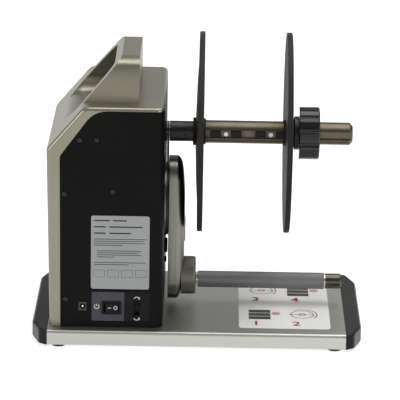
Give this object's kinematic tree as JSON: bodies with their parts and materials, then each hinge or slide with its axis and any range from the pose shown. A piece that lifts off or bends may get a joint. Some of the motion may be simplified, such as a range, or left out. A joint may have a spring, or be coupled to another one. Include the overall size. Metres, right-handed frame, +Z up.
{
  "type": "label rewinder",
  "caption": "Table-top label rewinder: gearbox housing with hood handle on an aluminium base, mandrel with two round flanges and clamp knob, hanging tension arm with guide roller.",
  "frame": {"origin": "centre of the footprint on the table, under the middle of the base", "axes": "+X along the mandrel to its free end, +Y away from the switch side, +Z up"},
  "size_m": [0.36, 0.22, 0.3265],
  "materials": {
    "base_aluminium": "satin anodised",
    "cap_plastic": "smooth moulded",
    "screw_steel": "bright zinc",
    "black_rubber": "matt",
    "sheet_white": "printed film",
    "shell_plastic": "fine texture",
    "cover_black": "fine powder coat",
    "zinc_steel": "zinc plated",
    "label_silver": "foil",
    "plate_grey": "printed film",
    "black_plastic": "smooth moulded",
    "pin_brass": "turned",
    "board_green": "solder mask",
    "wire_red": "insulated",
    "black_anodised": "black anodised",
    "black_steel": "blackened",
    "bearing_steel": "ground",
    "arm_silver": "satin",
    "mandrel_champagne": "champagne anodised",
    "gear_white": "acetal",
    "hub_bronze": "bronze anodised",
    "ring_chrome": "polished",
    "roller_grey": "grey anodised"
  },
  "bodies": {
    "housing": {"base_extrusion": "base_aluminium", "left_end_cap": "cap_plastic", "right_end_cap": "cap_plastic", "end_cap_screws": "screw_steel", "rubber_feet": "black_rubber", "instruction_sheet": "sheet_white", "outer_shell": "shell_plastic", "side_cover": "cover_black", "cover_screws": "screw_steel", "tie_rods": "zinc_steel", "rating_label": "label_silver", "switch_plate": "plate_grey", "power_jack": "black_plastic", "jack_pin": "pin_brass", "rocker_bezel": "black_plastic", "direction_switch_body": "black_plastic", "circuit_board": "board_green", "board_parts": "black_plastic", "wiring": "wire_red", "chassis_plate": "zinc_steel", "chassis_screws": "screw_steel", "motor_plate": "zinc_steel", "plate_standoffs": "zinc_steel", "gearbox": "zinc_steel", "motor_can": "zinc_steel", "spindle_bearing_block": "black_anodised", "spindle_bearings": "bearing_steel", "arm_bearing_block": "black_anodised", "arm_stop_pins": "zinc_steel", "angle_sensor_body": "black_plastic", "pivot_spacer": "arm_silver", "pivot_plate": "black_steel", "face_screws": "screw_steel", "arm_buffer": "black_rubber"},
    "spindle": {"spindle_shaft": "bearing_steel", "spindle_gear": "gear_white", "spindle_collar": "black_anodised", "collar_set_screw": "screw_steel", "mandrel": "mandrel_champagne", "grip_springs": "bearing_steel", "grip_pads": "black_rubber", "grip_screws": "screw_steel", "inner_flange": "black_anodised"},
    "sliding_flange": {"outer_flange": "black_anodised", "flange_collet": "black_anodised"},
    "knob": {"clamp_knob": "black_plastic"},
    "tension_arm": {"arm_plate": "arm_silver", "arm_cover": "arm_silver", "arm_shaft": "zinc_steel", "sector_gear": "gear_white", "roller_hub": "hub_bronze", "roller_axle": "zinc_steel", "roller_spacers": "ring_chrome", "roller_end_collar": "hub_bronze"},
    "guide_roller": {"roller_tube": "roller_grey", "roller_bushes": "gear_white"},
    "motor_shaft": {"motor_pinion": "pin_brass"},
    "sensor_shaft": {"sensor_pinion": "gear_white"},
    "power_rocker": {"rocker_button": "black_plastic"},
    "direction_knob": {"direction_slider": "black_plastic"}
  },
  "joints": [
    {"name": "spindle_spin", "type": "hinge", "parent": "housing", "child": "spindle", "pos_m": [0, 0, 0.2165], "axis": [1, 0, 0], "continuous": true},
    {"name": "outer_flange_slide", "type": "slide", "parent": "spindle", "child": "sliding_flange", "axis": [1, 0, 0], "range_m": [-0.062, 0.034]},
    {"name": "clamp_knob_turn", "type": "hinge", "parent": "sliding_flange", "child": "knob", "pos_m": [0.12, 0, 0.2165], "axis": [1, 0, 0], "range_deg": [0, 180]},
    {"name": "arm_swing", "type": "hinge", "parent": "housing", "child": "tension_arm", "pos_m": [0, 0, 0.1385], "axis": [1, 0, 0], "range_deg": [-40, 40]},
    {"name": "roller_spin", "type": "hinge", "parent": "tension_arm", "child": "guide_roller", "pos_m": [0, 0, 0.046], "axis": [1, 0, 0], "continuous": true},
    {"name": "motor_spin", "type": "hinge", "parent": "housing", "child": "motor_shaft", "pos_m": [-0.09, 0, 0.1845], "axis": [1, 0, 0], "continuous": true},
    {"name": "sensor_turn", "type": "hinge", "parent": "housing", "child": "sensor_shaft", "pos_m": [-0.08, 0, 0.0985], "axis": [1, 0, 0], "range_deg": [-122, 122]},
    {"name": "power_rocker_press", "type": "hinge", "parent": "housing", "child": "power_rocker", "pos_m": [-0.0928, -0.0928, 0.0429], "axis": [0, 0, 1], "range_deg": [-14, 0]},
    {"name": "direction_switch_slide", "type": "slide", "parent": "housing", "child": "direction_knob", "axis": [0, 0, -1], "range_m": [0, 0.0058]}
  ],
  "couplings": [
    {"joint": "motor_spin", "follows": "spindle_spin", "ratio": -3},
    {"joint": "sensor_turn", "follows": "arm_swing", "ratio": -3}
  ]
}
